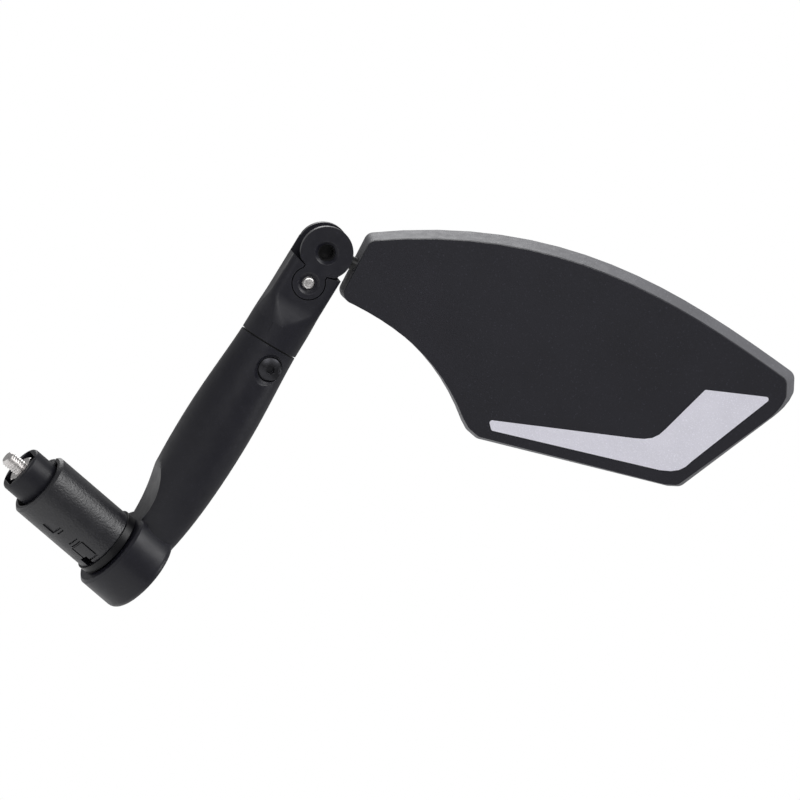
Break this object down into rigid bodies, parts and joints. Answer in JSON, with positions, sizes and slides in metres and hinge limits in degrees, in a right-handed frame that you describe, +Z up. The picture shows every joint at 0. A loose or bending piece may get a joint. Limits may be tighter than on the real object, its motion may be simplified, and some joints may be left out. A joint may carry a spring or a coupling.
{
  "type": "bar-end bicycle mirror",
  "caption": "Rear-view mirror for a handlebar end: expansion plug, plastic arm, swivelling neck and a ball-mounted blade-shaped mirror head.",
  "frame": {"origin": "plug axis at the collar face that the end of the handlebar rests on", "axes": "-X out along the plug into the handlebar, +Z up beside the arm, +Y the side the mirror glass looks to"},
  "size_m": [0.1606, 0.0661, 0.1891],
  "materials": {
    "sleeve_plastic": "grained",
    "collar_plastic": "satin",
    "wedge_plastic": "smooth satin",
    "steel": "zinc plated",
    "arm_plastic": "fine satin",
    "black_steel": "black oxide",
    "nylon": "smooth",
    "housing_plastic": "fine grain",
    "rim_plastic": "satin",
    "mirror": "silvered",
    "foam": "foam",
    "reflector_film": "silver film"
  },
  "bodies": {
    "plug": {"expansion_sleeve": "sleeve_plastic", "seat_collar": "collar_plastic"},
    "wedge": {"wedge": "wedge_plastic", "wedge_nut": "steel"},
    "bolt": {"plug_bolt": "steel"},
    "arm": {"arm_front_shell": "arm_plastic", "arm_back_shell": "arm_plastic", "shell_screws": "steel", "arm_screw": "black_steel", "arm_screw_nut": "steel", "friction_washer": "nylon", "bolt_washer": "steel"},
    "neck": {"neck": "arm_plastic", "clamp_plate": "arm_plastic", "clamp_screw": "steel"},
    "seats": {"ball_seats": "nylon"},
    "stud": {"ball_stud": "nylon"},
    "head": {"back_housing": "housing_plastic", "rim": "rim_plastic", "mirror_glass": "mirror", "adhesive_pad": "foam", "reflector": "reflector_film", "stud_clamp": "nylon", "bracket_screws": "steel"}
  },
  "joints": [
    {"name": "arm_turn", "type": "hinge", "parent": "plug", "child": "arm", "pos_m": [0.01, 0, 0], "axis": [1, 0, 0], "continuous": true},
    {"name": "bolt_turn", "type": "hinge", "parent": "plug", "child": "bolt", "pos_m": [0.01, 0, 0], "axis": [1, 0, 0], "range_deg": [0, 1350]},
    {"name": "wedge_slide", "type": "slide", "parent": "plug", "child": "wedge", "axis": [1, 0, 0], "range_m": [0, 0.003]},
    {"name": "neck_swivel", "type": "hinge", "parent": "arm", "child": "neck", "pos_m": [-0.00218, 0, 0.07758], "axis": [-0.1822, 0, 0.9833], "continuous": true},
    {"name": "head_swing", "type": "hinge", "parent": "neck", "child": "seats", "pos_m": [-0.00808, 0, 0.10944], "axis": [-0.1707, -0.9848, -0.0316], "range_deg": [-5, 150]},
    {"name": "head_tilt", "type": "hinge", "parent": "seats", "child": "stud", "pos_m": [-0.00808, 0, 0.10944], "axis": [-0.3021, 0.0218, 0.953], "range_deg": [-3, 12]},
    {"name": "head_roll", "type": "hinge", "parent": "stud", "child": "head", "pos_m": [-0.00808, 0, 0.10944], "axis": [0.8986, -0.3271, 0.2924], "range_deg": [-30, 30]}
  ],
  "couplings": [
    {"joint": "bolt_turn", "follows": "wedge_slide", "rad_per_m": 7854}
  ]
}
